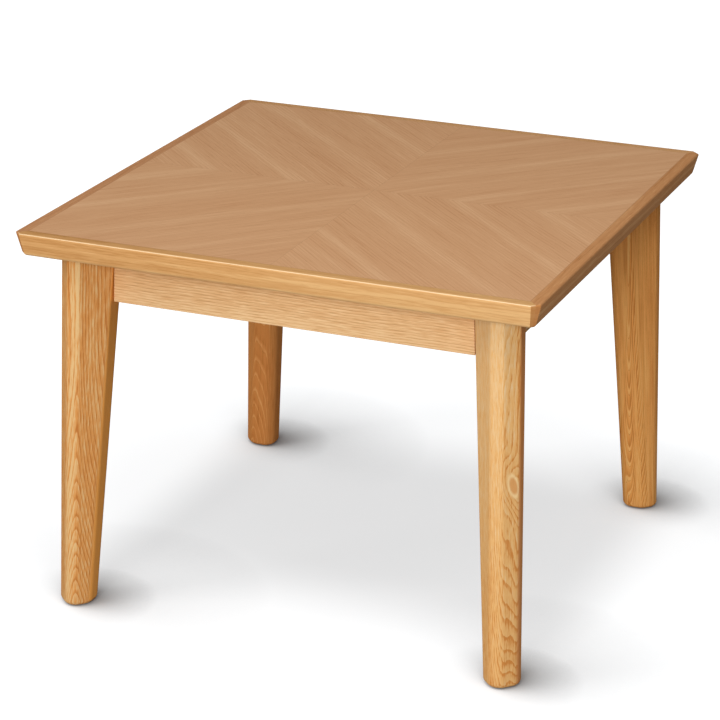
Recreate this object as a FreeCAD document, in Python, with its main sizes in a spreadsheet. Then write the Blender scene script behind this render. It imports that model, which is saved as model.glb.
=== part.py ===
import FreeCAD, Part
import math
import os

import Sketcher

# Low square side table on four splayed legs, in millimetres.
# The origin is on the floor under the middle of the top. +X runs along the front edge to the right,
# +Y runs to the back and +Z runs up. The table is the same from all four sides, so each corner piece is
# drawn once, at the front right corner, and turned by quarter turns.

DRIVING_SIZES = (
    # Top board
    ("top_side", 600, "side of the square top"),
    ("table_height", 450, "floor to top surface"),
    ("board_thickness", 27, "thickness of the top board"),
    ("board_undercut", 7, "lean of each edge from top surface to underside"),
    ("corner_clip", 8.5, "length cut off each side at a corner"),
    ("upper_arris", 2, "rounding of the upper arris"),
    ("lower_arris", 5.5, "rounding of the lower arris"),
    ("lipping_width", 13, "width of the solid lipping on the top surface"),
    ("veneer_thickness", 0.6, "face veneer and backing sheet"),
    # Aprons
    ("apron_face", 238, "middle of the table to an apron's outer face"),
    ("apron_half_length", 209.1, "middle of an apron to its end"),
    ("apron_height", 60, "height of an apron"),
    ("apron_thickness", 20, "thickness of an apron"),
    ("apron_arris", 1, "rounding of an apron's arrises"),
    # Legs
    ("leg_top_centre", 237.8, "leg's centre line under the board, along X and along Y"),
    ("leg_foot_centre", 258.5, "leg's centre line at the foot, along X and along Y"),
    ("leg_top_half", 28.6, "half the leg's width under the board"),
    ("leg_foot_half", 20, "half the leg's width at the foot"),
    ("leg_top_outer_cut", 14.2, "length cut off both sides of the outer corner under the board"),
    ("leg_top_side_cut", 28.4, "length cut off at the corners beside the aprons under the board"),
    ("leg_top_inner_cut", 6, "length cut off at the inner corner under the board"),
    ("leg_foot_outer_cut", 15, "length cut off both sides of the outer corner at the foot"),
    ("leg_foot_side_cut", 12.5, "length cut off at the corners beside the aprons at the foot"),
    ("leg_foot_inner_cut", 8, "length cut off at the inner corner at the foot"),
    ("leg_edge_round", 4.5, "rounding of the eight long edges"),
    ("leg_foot_arris", 4, "rounding of the arris round the foot"),
    ("leg_flat_distance", 308, "middle of the table to the flat on the inner corner, along the diagonal"),
    ("leg_flat_height", 54, "height of the flat on the inner corner"),
    # Corner blocks
    ("block_inner", 270, "middle of the table to a block's inner face, along the diagonal"),
    ("block_outer", 299, "middle of the table to a block's outer face, along the diagonal"),
    ("block_height", 50, "height of a corner block"),
    # Leg bolts, eight millimetre thread
    ("bolt_diameter", 8, "shank of a leg bolt"),
    ("bolt_length", 55, "length of a leg bolt under its head"),
    ("bolt_head_diameter", 13, "head of a leg bolt"),
    ("bolt_head_height", 8, "height of the head"),
    ("bolt_head_bevel", 0.8, "bevel round the head and the tip"),
    ("bolt_socket", 6, "hexagon socket across its flats"),
    ("bolt_socket_depth", 4, "depth of the hexagon socket"),
    ("bolt_bore", 9, "bolt hole through a corner block"),
    ("bolt_upper_drop", 13, "underside of the board to the upper bolt"),
    ("bolt_lower_drop", 37, "underside of the board to the lower bolt"),
    ("washer_diameter", 16, "flat washer"),
    ("washer_thickness", 1.6, "thickness of the flat washer"),
    ("washer_bore", 8.4, "hole of the flat washer and the spring washer"),
    ("spring_diameter", 14.8, "spring washer"),
    ("spring_thickness", 2, "thickness of the spring washer"),
    ("spring_slit", 1.2, "slit of the spring washer"),
    ("insert_diameter", 12, "threaded insert in a leg"),
    ("insert_length", 18, "length of the insert"),
    ("insert_bore", 8.2, "hole of the insert"),
    ("insert_bevel", 0.8, "bevel at the insert's ends"),
    ("fit_gap", 0.1, "gap round a screw, a nail or an insert in its hole"),
    # Wood screws, four millimetre shank
    ("screw_diameter", 4, "shank of a wood screw"),
    ("screw_tip", 4, "length of the pointed tip"),
    ("screw_head_diameter", 8, "head of a wood screw"),
    ("screw_head_height", 2.6, "height of the head"),
    ("screw_head_bevel", 1, "bevel round the head"),
    ("screw_recess", 4.6, "length of the cross recess"),
    ("screw_recess_width", 1, "width of the cross recess"),
    ("screw_recess_depth", 1.6, "depth of the cross recess"),
    ("screw_counterbore", 9, "sunk hole for a screw head"),
    ("apron_screw_length", 20, "screw from a block into an apron"),
    ("apron_screw_place", 176, "middle of an apron to its screws"),
    ("apron_screw_wood", 6.5, "wood of the block under the head"),
    ("apron_screw_upper_drop", 10, "underside of the board to the upper apron screws"),
    ("apron_screw_lower_drop", 40, "underside of the board to the lower apron screws"),
    ("top_screw_length", 40, "screw from a block up into the board"),
    ("top_screw_along", 284, "middle of the table to the top screws, along the diagonal"),
    ("top_screw_across", 11, "diagonal to a top screw"),
    ("top_screw_wood", 25, "wood of the block under the head"),
    # Glides
    ("glide_diameter", 24, "glide under a foot"),
    ("glide_thickness", 3, "thickness of a glide"),
    ("glide_drop", 1, "glide's height below the foot"),
    ("glide_arris", 0.8, "bevel round the glide's lower edge"),
    ("nail_diameter", 2, "nail through a glide"),
    ("nail_length", 16, "length of the nail under its head"),
    ("nail_tip", 3, "length of the nail's point"),
    ("nail_head_diameter", 6, "head of the nail"),
    ("nail_head_height", 1, "height of the nail's head"),
    ("nail_sink", 0.6, "floor to the nail's head"),
)

doc = FreeCAD.newDocument("side_table")
sheet = doc.addObject("Spreadsheet::Sheet", "size")
for row, (alias, value, meaning) in enumerate(DRIVING_SIZES, start=1):
    sheet.set("A%d" % row, meaning)
    sheet.set("B%d" % row, str(value))
    sheet.setAlias("B%d" % row, alias)
doc.recompute()

# Formulas that several pieces share
UNDERSIDE = "(size.table_height - size.board_thickness)"
CORE_HALF = "(size.top_side / 2 - size.lipping_width)"
APRON_INNER = "(size.apron_face - size.apron_thickness)"
BLOCK_LOW = "(%s - size.block_height)" % UNDERSIDE
BOLT_HEIGHTS = ("%s - size.bolt_upper_drop" % UNDERSIDE, "%s - size.bolt_lower_drop" % UNDERSIDE)
APRON_SCREW_HEIGHTS = (
    "%s - size.apron_screw_upper_drop" % UNDERSIDE,
    "%s - size.apron_screw_lower_drop" % UNDERSIDE,
)
TOP_SCREW_SIDES = ("-size.top_screw_across", "size.top_screw_across")
TOP_SCREW_SEAT = "(%s - size.top_screw_wood)" % UNDERSIDE
SCREW_HOLE = "(size.screw_diameter / 2 + size.fit_gap)"
NAIL_HOLE = "(size.nail_diameter / 2 + size.fit_gap)"
NAIL_SEAT = "(size.nail_sink + size.nail_head_height)"

# Names of the corners and sides in the order of the quarter turns
CORNERS = ("front_right", "back_right", "back_left", "front_left")
SIDES = ("front", "right", "back", "left")
QUARTER = 90

UP = FreeCAD.Vector(0, 0, 1)
TO_RIGHT = FreeCAD.Vector(1, 0, 0)
TO_FRONT = FreeCAD.Vector(0, -1, 0)
TO_CORNER = FreeCAD.Vector(1, -1, 0)
TOUCH = 1e-4

sub_parts = []


def turned_about_z(across, along, quarters):
    """Formulas of a point after that many quarter turns about the table's middle."""
    turns = (
        (across, along),
        ("-(%s)" % along, across),
        ("-(%s)" % across, "-(%s)" % along),
        (along, "-(%s)" % across),
    )
    return turns[quarters]


def on_diagonal(along, across="0"):
    """Formulas of a point at the front right corner, measured along its diagonal and across it."""
    return "((%s) + (%s)) / sqrt(2)" % (along, across), "((%s) - (%s)) / sqrt(2)" % (across, along)


def new_body(label):
    """Empty body under its own label."""
    body = doc.addObject("PartDesign::Body", label)
    body.Label = label
    return body


def keep(piece):
    """Add a finished piece to those that are written."""
    sub_parts.append(piece)
    return piece


def new_sketch(body, role="XY_Plane", lift="0"):
    """Sketch on one of the body's origin planes, lifted along the plane's normal."""
    plane = next(feature for feature in body.Origin.OriginFeatures if feature.Role == role)
    sketch = body.newObject("Sketcher::SketchObject", body.Label + "_outline")
    sketch.AttachmentSupport = [(plane, "")]
    sketch.MapMode = "FlatFace"
    sketch.setExpression("AttachmentOffset.Base.z", lift)
    return sketch


def add_size(sketch, formula, *constraint):
    """Constraint of a sketch whose value follows a formula."""
    index = sketch.addConstraint(Sketcher.Constraint(*constraint, 1.0))
    sketch.setExpression("Constraints[%d]" % index, formula)


def draw_polygon(sketch, corners):
    """Closed outline with each corner at its own two formulas."""
    count = len(corners)
    turn = 2 * math.pi / count
    ring = [FreeCAD.Vector(math.cos(index * turn), math.sin(index * turn), 0) for index in range(count)]
    for index in range(count):
        sketch.addGeometry(Part.LineSegment(ring[index], ring[(index + 1) % count]), False)
    for index, (across, along) in enumerate(corners):
        sketch.addConstraint(Sketcher.Constraint("Coincident", index, 2, (index + 1) % count, 1))
        add_size(sketch, across, "DistanceX", -1, 1, index, 1)
        add_size(sketch, along, "DistanceY", -1, 1, index, 1)


def draw_leg_section(sketch, end):
    """Square with four cut corners at the front right, at the leg's end of that name."""
    centre = "size.leg_%s_centre" % end
    near = "(%s - size.leg_%s_half)" % (centre, end)
    far = "(%s + size.leg_%s_half)" % (centre, end)
    outer = "size.leg_%s_outer_cut" % end
    side = "size.leg_%s_side_cut" % end
    inner = "size.leg_%s_inner_cut" % end
    draw_polygon(
        sketch,
        [
            ("%s + %s" % (near, side), "-%s" % far),
            ("%s - %s" % (far, outer), "-%s" % far),
            (far, "%s - %s" % (outer, far)),
            (far, "-%s - %s" % (near, side)),
            ("%s - %s" % (far, side), "-%s" % near),
            ("%s + %s" % (near, inner), "-%s" % near),
            (near, "-%s - %s" % (near, inner)),
            (near, "%s - %s" % (side, far)),
        ],
    )


def pad(body, sketch, length):
    """Solid raised from a sketch along +Z."""
    feature = body.newObject("PartDesign::Pad", body.Label + "_pad")
    feature.Profile = sketch
    feature.setExpression("Length", length)
    return feature


def pocket(body, sketch, depth):
    """Cut down from a sketch along -Z."""
    feature = body.newObject("PartDesign::Pocket", body.Label + "_pocket")
    feature.Profile = sketch
    feature.setExpression("Length", depth)
    return feature


def loft(body, first, last):
    """Straight-sided solid between two outlines."""
    feature = body.newObject("PartDesign::AdditiveLoft", body.Label + "_loft")
    feature.Profile = first
    feature.Sections = [last]
    feature.Ruled = True
    return feature


def round_edges(body, radius, low, high, whole_height=False):
    """Round those edges of the body so far that start at one height and end at another or below it."""
    doc.recompute()
    base = body.Tip
    names = []
    for index, edge in enumerate(base.Shape.Edges, start=1):
        box = edge.BoundBox
        starts = abs(box.ZMin - low) < TOUCH
        ends = box.ZMax < high + TOUCH and (box.ZMax > high - TOUCH or not whole_height)
        if starts and ends:
            names.append("Edge%d" % index)
    feature = body.newObject("PartDesign::Fillet", body.Label + "_rounding")
    feature.Base = (base, names)
    feature.setExpression("Radius", radius)
    return feature


def place(piece, across, along, height, direction=UP):
    """Set a piece's own origin at three formulas, with its Z axis along a direction."""
    piece.Placement = FreeCAD.Placement(FreeCAD.Vector(), FreeCAD.Rotation(UP, direction))
    piece.setExpression("Placement.Base.x", across)
    piece.setExpression("Placement.Base.y", along)
    piece.setExpression("Placement.Base.z", height)


def bore(body, across, along, height, direction, radius, depth):
    """Round hole from a point along a direction."""
    hole = body.newObject("PartDesign::SubtractiveCylinder", body.Label + "_bore")
    hole.setExpression("Radius", radius)
    hole.setExpression("Height", depth)
    place(hole, across, along, height, direction)


def turned_body(label, outline):
    """Body turned about its Z axis from half an outline of radius and height formulas."""
    body = new_body(label)
    sketch = new_sketch(body, "XZ_Plane")
    draw_polygon(sketch, outline)
    turning = body.newObject("PartDesign::Revolution", label + "_turning")
    turning.Profile = sketch
    turning.ReferenceAxis = (sketch, ["V_Axis"])
    turning.Angle = 360
    return body


def ring_body(label, diameter, hole, thickness):
    """Flat ring that stands on its own XY plane."""
    body = new_body(label)
    disc = body.newObject("PartDesign::AdditiveCylinder", label + "_disc")
    disc.setExpression("Radius", "%s / 2" % diameter)
    disc.setExpression("Height", thickness)
    bore(body, "0", "0", "0", UP, "%s / 2" % hole, thickness)
    return body


def group_of(label, master, places):
    """One node that holds a copy of the master at each place."""
    copies = []
    for across, along, height, direction in places:
        copy = doc.addObject("App::Link", label + "_copy")
        copy.LinkedObject = master
        place(copy, across, along, height, direction)
        copies.append(copy)
    group = doc.addObject("Part::Compound", label)
    group.Label = label
    group.Links = copies
    return keep(group)


def at_all_corners(places):
    """Places at the front right corner, repeated by quarter turns at the other three."""
    turned = []
    for quarters in range(4):
        turn = FreeCAD.Rotation(UP, QUARTER * quarters)
        for across, along, height, direction in places:
            turned.append((*turned_about_z(across, along, quarters), height, turn.multVec(direction)))
    return turned


def turn_to_corner(body, quarters):
    """Turn a piece that is drawn at the front right corner or the front side to its own place."""
    body.Placement = FreeCAD.Placement(FreeCAD.Vector(), FreeCAD.Rotation(UP, QUARTER * quarters))


# Places of the fasteners at the front right corner
top_screw_places = [(*on_diagonal("size.top_screw_along", side), TOP_SCREW_SEAT, UP) for side in TOP_SCREW_SIDES]
apron_screw_seat = "%s - size.apron_screw_wood" % APRON_INNER
apron_screw_places = []
for height in APRON_SCREW_HEIGHTS:
    apron_screw_places.append(("size.apron_screw_place", "-(%s)" % apron_screw_seat, height, TO_FRONT))
    apron_screw_places.append((apron_screw_seat, "-size.apron_screw_place", height, TO_RIGHT))


def bolt_places(along):
    """Both bolt heights of the front right corner, at a distance along its diagonal."""
    return [(*on_diagonal(along), height, TO_CORNER) for height in BOLT_HEIGHTS]


# Top board: a core between a quartered face veneer and a backing sheet, inside four lippings


def square_sheet(label, low, thickness, hole_depth):
    """Square board inside the lippings, drilled from below for the top screws."""
    body = new_body(label)
    sketch = new_sketch(body, lift=low)
    draw_polygon(sketch, [turned_about_z(CORE_HALF, "-" + CORE_HALF, quarters) for quarters in range(4)])
    pad(body, sketch, thickness)
    for across, along, _, direction in at_all_corners(top_screw_places):
        bore(body, across, along, low, direction, SCREW_HOLE, hole_depth)
    return keep(body)


core_low = "(%s + size.veneer_thickness)" % UNDERSIDE
core_thickness = "size.board_thickness - 2 * size.veneer_thickness"
pilot_depth = "size.top_screw_length - size.top_screw_wood - size.veneer_thickness + size.fit_gap"
square_sheet("top_backing", UNDERSIDE, "size.veneer_thickness", "size.veneer_thickness")
square_sheet("top_core", core_low, core_thickness, pilot_depth)

for corner in CORNERS:
    veneer = doc.addObject("Part::Box", "top_veneer_" + corner)
    veneer.Label = "top_veneer_" + corner
    veneer.setExpression("Length", CORE_HALF)
    veneer.setExpression("Width", CORE_HALF)
    veneer.setExpression("Height", "size.veneer_thickness")
    place(
        veneer,
        "0" if corner.endswith("right") else "-" + CORE_HALF,
        "-" + CORE_HALF if corner.startswith("front") else "0",
        "size.table_height - size.veneer_thickness",
    )
    keep(veneer)


def clipped_square(half, clip):
    """Square outline with its corners cut off at 45 degrees."""
    corners = []
    for quarters in range(4):
        corners.append(turned_about_z("%s - %s" % (half, clip), "-(%s)" % half, quarters))
        corners.append(turned_about_z(half, "-(%s - %s)" % (half, clip), quarters))
    return corners


# The side of the top is its overall size, so the outline before rounding reaches a little further.
# The undercut is the same on the sides and on the clipped corners, so the clip is shorter below.
edge_lean = "atan(size.board_undercut / size.board_thickness)"
upper_half = "(size.top_side / 2 + size.upper_arris * (1 / tan((90 deg - %s) / 2) - 1))" % edge_lean
lower_half = "(%s - size.board_undercut)" % upper_half
lower_clip = "(size.corner_clip - size.board_undercut * (2 - sqrt(2)))"
frame = new_body("lipping_frame")
upper_outline = new_sketch(frame, lift="size.table_height")
draw_polygon(upper_outline, clipped_square(upper_half, "size.corner_clip"))
lower_outline = new_sketch(frame, lift=UNDERSIDE)
draw_polygon(lower_outline, clipped_square(lower_half, lower_clip))
loft(frame, upper_outline, lower_outline)
top_height = sheet.get("table_height")
underside_height = top_height - sheet.get("board_thickness")
round_edges(frame, "size.upper_arris", top_height, top_height)
round_edges(frame, "size.lower_arris", underside_height, underside_height)
opening = new_sketch(frame, lift="size.table_height")
draw_polygon(opening, [turned_about_z(CORE_HALF, "-" + CORE_HALF, quarters) for quarters in range(4)])
pocket(frame, opening, "size.board_thickness")

for quarters, side in enumerate(SIDES):
    mitre = doc.addObject("Part::Wedge", "mitre_" + side)
    for prop, formula in (
        ("Xmin", "-size.top_side"),
        ("Xmax", "size.top_side"),
        ("Ymin", "-size.top_side"),
        ("Ymax", "0"),
        ("Zmin", "0"),
        ("Zmax", "2 * size.table_height"),
        ("X2min", "0"),
        ("X2max", "0"),
        ("Z2min", "0"),
        ("Z2max", "2 * size.table_height"),
    ):
        mitre.setExpression(prop, formula)
    turn_to_corner(mitre, quarters)
    lipping = doc.addObject("Part::Common", "top_lipping_" + side)
    lipping.Label = "top_lipping_" + side
    lipping.Base = frame
    lipping.Tool = mitre
    keep(lipping)

# Aprons: straight boards between the legs, with pilot holes for the corner blocks' screws
for quarters, side in enumerate(SIDES):
    apron = new_body("apron_" + side)
    sketch = new_sketch(apron, lift="%s - size.apron_height" % UNDERSIDE)
    draw_polygon(
        sketch,
        [
            ("-size.apron_half_length", "-size.apron_face"),
            ("size.apron_half_length", "-size.apron_face"),
            ("size.apron_half_length", "-" + APRON_INNER),
            ("-size.apron_half_length", "-" + APRON_INNER),
        ],
    )
    pad(apron, sketch, "size.apron_height")
    apron_low = underside_height - sheet.get("apron_height")
    round_edges(apron, "size.apron_arris", apron_low, underside_height)
    for height in APRON_SCREW_HEIGHTS:
        for across in ("-size.apron_screw_place", "size.apron_screw_place"):
            pilot = "size.apron_screw_length - size.apron_screw_wood + size.fit_gap"
            bore(apron, across, "-" + APRON_INNER, height, TO_FRONT, SCREW_HOLE, pilot)
    turn_to_corner(apron, quarters)
    keep(apron)

# Legs: splayed and tapered, eight-sided, with a flat for the bolts and a recess under the foot
foot_height = sheet.get("glide_drop")
for quarters, corner in enumerate(CORNERS):
    leg = new_body("leg_" + corner)
    foot_section = new_sketch(leg, lift="size.glide_drop")
    draw_leg_section(foot_section, "foot")
    top_section = new_sketch(leg, lift=UNDERSIDE)
    draw_leg_section(top_section, "top")
    loft(leg, top_section, foot_section)
    round_edges(leg, "size.leg_edge_round", foot_height, underside_height, whole_height=True)
    round_edges(leg, "size.leg_foot_arris", foot_height, foot_height)
    flat = new_sketch(leg, lift=UNDERSIDE)
    draw_polygon(
        flat,
        [
            on_diagonal("size.leg_flat_distance", "-size.leg_top_half"),
            on_diagonal("size.leg_flat_distance", "size.leg_top_half"),
            on_diagonal("size.leg_flat_distance - size.leg_top_half", "size.leg_top_half"),
            on_diagonal("size.leg_flat_distance - size.leg_top_half", "-size.leg_top_half"),
        ],
    )
    pocket(leg, flat, "size.leg_flat_height")
    for across, along, height, direction in bolt_places("size.leg_flat_distance"):
        radius = "size.insert_diameter / 2 + size.fit_gap"
        bore(leg, across, along, height, direction, radius, "size.insert_length")
    foot = ("size.leg_foot_centre", "-size.leg_foot_centre")
    recess_radius = "size.glide_diameter / 2 + size.fit_gap"
    bore(leg, *foot, "0", UP, recess_radius, "size.glide_thickness")
    bore(leg, *foot, "0", UP, NAIL_HOLE, "%s + size.nail_length + size.fit_gap" % NAIL_SEAT)
    turn_to_corner(leg, quarters)
    keep(leg)

# Corner blocks: mitred between two aprons, drilled for the leg bolts and the wood screws
for quarters, corner in enumerate(CORNERS):
    block = new_body("corner_block_" + corner)
    sketch = new_sketch(block, lift=BLOCK_LOW)
    inner_half = "(%s * sqrt(2) - size.block_inner)" % APRON_INNER
    outer_half = "(%s * sqrt(2) - size.block_outer)" % APRON_INNER
    draw_polygon(
        sketch,
        [
            on_diagonal("size.block_inner", "-" + inner_half),
            on_diagonal("size.block_outer", "-" + outer_half),
            on_diagonal("size.block_outer", outer_half),
            on_diagonal("size.block_inner", inner_half),
        ],
    )
    pad(block, sketch, "size.block_height")
    for across, along, height, direction in bolt_places("size.block_inner"):
        bore(block, across, along, height, direction, "size.bolt_bore / 2", "size.block_outer - size.block_inner")
    for across, along, height, direction in apron_screw_places:
        bore(block, across, along, height, direction, SCREW_HOLE, "size.apron_screw_wood")
        bore(block, across, along, height, -direction, "size.screw_counterbore / 2", "size.apron_screw_place")
    for across, along, height, direction in top_screw_places:
        bore(block, across, along, height, direction, SCREW_HOLE, "size.top_screw_wood")
        bore(block, across, along, height, -direction, "size.screw_counterbore / 2", "size.block_height")
    turn_to_corner(block, quarters)
    keep(block)

# Leg bolts with their washers, and the threaded inserts that they screw into
bolt_outline = [
    ("0", "-size.bolt_head_height"),
    ("size.bolt_head_diameter / 2 - size.bolt_head_bevel", "-size.bolt_head_height"),
    ("size.bolt_head_diameter / 2", "size.bolt_head_bevel - size.bolt_head_height"),
    ("size.bolt_head_diameter / 2", "0"),
    ("size.bolt_diameter / 2", "0"),
    ("size.bolt_diameter / 2", "size.bolt_length - size.bolt_head_bevel"),
    ("size.bolt_diameter / 2 - size.bolt_head_bevel", "size.bolt_length"),
    ("0", "size.bolt_length"),
]
bolt = turned_body("leg_bolt", bolt_outline)
socket = bolt.newObject("PartDesign::SubtractivePrism", "leg_bolt_socket")
socket.Polygon = 6
socket.setExpression("Circumradius", "size.bolt_socket / sqrt(3)")
socket.setExpression("Height", "size.bolt_socket_depth")
place(socket, "0", "0", "-size.bolt_head_height")

flat_washer = ring_body("flat_washer", "size.washer_diameter", "size.washer_bore", "size.washer_thickness")
spring_washer = ring_body("spring_washer", "size.spring_diameter", "size.washer_bore", "size.spring_thickness")
slit = spring_washer.newObject("PartDesign::SubtractiveBox", "spring_washer_slit")
slit.setExpression("Length", "size.spring_diameter")
slit.setExpression("Width", "size.spring_slit")
slit.setExpression("Height", "size.spring_thickness")
place(slit, "0", "-size.spring_slit / 2", "0")

insert_outline = [
    ("size.insert_bore / 2", "0"),
    ("size.insert_diameter / 2 - size.insert_bevel", "0"),
    ("size.insert_diameter / 2", "size.insert_bevel"),
    ("size.insert_diameter / 2", "size.insert_length - size.insert_bevel"),
    ("size.insert_diameter / 2 - size.insert_bevel", "size.insert_length"),
    ("size.insert_bore / 2", "size.insert_length"),
]
insert = turned_body("threaded_insert", insert_outline)

washer_face = "size.block_inner - size.washer_thickness"
spring_face = "%s - size.spring_thickness" % washer_face
group_of("leg_bolts", bolt, at_all_corners(bolt_places(spring_face)))
group_of("leg_bolt_spring_washers", spring_washer, at_all_corners(bolt_places(spring_face)))
group_of("leg_bolt_flat_washers", flat_washer, at_all_corners(bolt_places(washer_face)))
group_of("leg_threaded_inserts", insert, at_all_corners(bolt_places("size.leg_flat_distance")))


def wood_screw(label, length):
    """Screw with a low round head, a cross recess and a pointed tip; its seat is on its XY plane."""
    outline = [
        ("0", "-size.screw_head_height"),
        ("size.screw_head_diameter / 2 - size.screw_head_bevel", "-size.screw_head_height"),
        ("size.screw_head_diameter / 2", "size.screw_head_bevel - size.screw_head_height"),
        ("size.screw_head_diameter / 2", "0"),
        ("size.screw_diameter / 2", "0"),
        ("size.screw_diameter / 2", "%s - size.screw_tip" % length),
        ("0", length),
    ]
    screw = turned_body(label, outline)
    for along_x, along_y in (
        ("size.screw_recess", "size.screw_recess_width"),
        ("size.screw_recess_width", "size.screw_recess"),
    ):
        slot = screw.newObject("PartDesign::SubtractiveBox", label + "_recess")
        slot.setExpression("Length", along_x)
        slot.setExpression("Width", along_y)
        slot.setExpression("Height", "size.screw_recess_depth")
        place(slot, "-%s / 2" % along_x, "-%s / 2" % along_y, "-size.screw_head_height")
    return screw


# Wood screws from the corner blocks into the aprons and up into the board
apron_screw = wood_screw("apron_screw", "size.apron_screw_length")
top_screw = wood_screw("top_screw", "size.top_screw_length")
group_of("apron_screws", apron_screw, at_all_corners(apron_screw_places))
group_of("top_screws", top_screw, at_all_corners(top_screw_places))

# Glides under the feet, each held by a nail
glide_outline = [
    ("size.nail_head_diameter / 2 + size.fit_gap", "0"),
    ("size.glide_diameter / 2 - size.glide_arris", "0"),
    ("size.glide_diameter / 2", "size.glide_arris"),
    ("size.glide_diameter / 2", "size.glide_thickness"),
    (NAIL_HOLE, "size.glide_thickness"),
    (NAIL_HOLE, NAIL_SEAT),
    ("size.nail_head_diameter / 2 + size.fit_gap", NAIL_SEAT),
]
foot_places = at_all_corners([("size.leg_foot_centre", "-size.leg_foot_centre", "0", UP)])
for corner, foot_place in zip(CORNERS, foot_places):
    glide = turned_body("foot_glide_" + corner, glide_outline)
    place(glide, *foot_place)
    keep(glide)

nail_outline = [
    ("0", "-size.nail_head_height"),
    ("size.nail_head_diameter / 2", "-size.nail_head_height"),
    ("size.nail_head_diameter / 2", "0"),
    ("size.nail_diameter / 2", "0"),
    ("size.nail_diameter / 2", "size.nail_length - size.nail_tip"),
    ("0", "size.nail_length"),
]
nail = turned_body("glide_nail", nail_outline)
nail_places = [(across, along, NAIL_SEAT, direction) for across, along, _, direction in foot_places]
group_of("glide_nails", nail, nail_places)

# Every object has to be sound before any piece is written
doc.recompute()
for item in doc.Objects:
    if "Invalid" in item.State or "Error" in item.State:
        raise RuntimeError("%s failed: %s" % (item.Label, item.State))
for piece in sub_parts:
    if piece.Shape.isNull() or not piece.Shape.isValid() or not piece.Shape.Solids:
        raise RuntimeError("%s has no sound solid" % piece.Label)

os.makedirs("parts", exist_ok=True)
for piece in sub_parts:
    piece.Shape.exportStep("parts/%s.step" % piece.Label)
    print("%-28s %2d solids %10.0f mm3" % (piece.Label, len(piece.Shape.Solids), piece.Shape.Volume))
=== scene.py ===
"""Looks of a low square side table with a quartered veneer top on four splayed, faceted legs."""

from __future__ import annotations

import logging
import math
from collections.abc import Callable, Mapping, Sequence
from dataclasses import dataclass, replace
from enum import Enum
from functools import partial

import bmesh
import bpy
from mathutils import Matrix, Vector


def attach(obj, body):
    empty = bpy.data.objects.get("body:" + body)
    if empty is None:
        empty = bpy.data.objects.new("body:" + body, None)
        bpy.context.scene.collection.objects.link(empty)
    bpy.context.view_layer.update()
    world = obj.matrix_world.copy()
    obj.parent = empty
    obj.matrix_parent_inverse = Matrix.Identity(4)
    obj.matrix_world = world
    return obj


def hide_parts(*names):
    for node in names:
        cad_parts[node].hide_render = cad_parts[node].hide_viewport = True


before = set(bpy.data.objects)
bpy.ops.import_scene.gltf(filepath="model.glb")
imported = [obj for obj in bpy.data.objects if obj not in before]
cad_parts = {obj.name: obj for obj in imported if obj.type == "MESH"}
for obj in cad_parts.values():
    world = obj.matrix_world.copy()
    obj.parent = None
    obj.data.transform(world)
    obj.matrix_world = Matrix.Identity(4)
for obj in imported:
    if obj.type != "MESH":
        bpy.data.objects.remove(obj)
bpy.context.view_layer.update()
LOG = logging.getLogger("side_table")

ROOT_BODY = "root"
GRAIN = "grain"
QUARTER = math.pi / 2
HALF_DIAGONAL = math.sqrt(0.5)
CUT_LOSS = 2 - math.sqrt(2)
UP = Vector((0.0, 0.0, 1.0))
TO_FRONT = Vector((0.0, -1.0, 0.0))
TO_CORNER = Vector((HALF_DIAGONAL, -HALF_DIAGONAL, 0.0))
WHITE = (1.0, 1.0, 1.0, 1.0)
NO_STEP = (0.0, 0.0, 0.0)
Object = bpy.types.Object
Material = bpy.types.Material
Socket = bpy.types.NodeSocket
Triple = tuple[float, float, float]
Colour = tuple[float, float, float, float]
Measure = float | Callable[[float], float]
Stations = list[tuple[Measure, Measure]]


class Spot(Enum):
    """Place round the table, counted in quarter turns from the first one."""

    @property
    def label(self) -> str:
        """Name used in the nodes."""
        return self.name.lower()

    @property
    def turn(self) -> Matrix:
        """Turn about the table's middle from the first place to this one."""
        return Matrix.Rotation(QUARTER * self.value, 4, "Z")


class Corner(Spot):
    """Corner of the table, from the front right one."""

    FRONT_RIGHT = 0
    BACK_RIGHT = 1
    BACK_LEFT = 2
    FRONT_LEFT = 3


class Side(Spot):
    """Side of the table, from the front one."""

    FRONT = 0
    RIGHT = 1
    BACK = 2
    LEFT = 3


class GrainSource(Enum):
    """Where a wood finish takes its grain coordinates from."""

    PIECE = "the piece's own grain attribute"
    TABLE = "the table's own axes"


def shade(*display: int) -> Colour:
    """Linear colour from display values.

    Args:
        display: Display red, green and blue, 0 to 255.

    Returns:
        The linear colour with full alpha.
    """
    shares = [value / 255 for value in display]
    linear = [share / 12.92 if share <= 0.04045 else ((share + 0.055) / 1.055) ** 2.4 for share in shares]
    return (*linear, 1.0)


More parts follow.
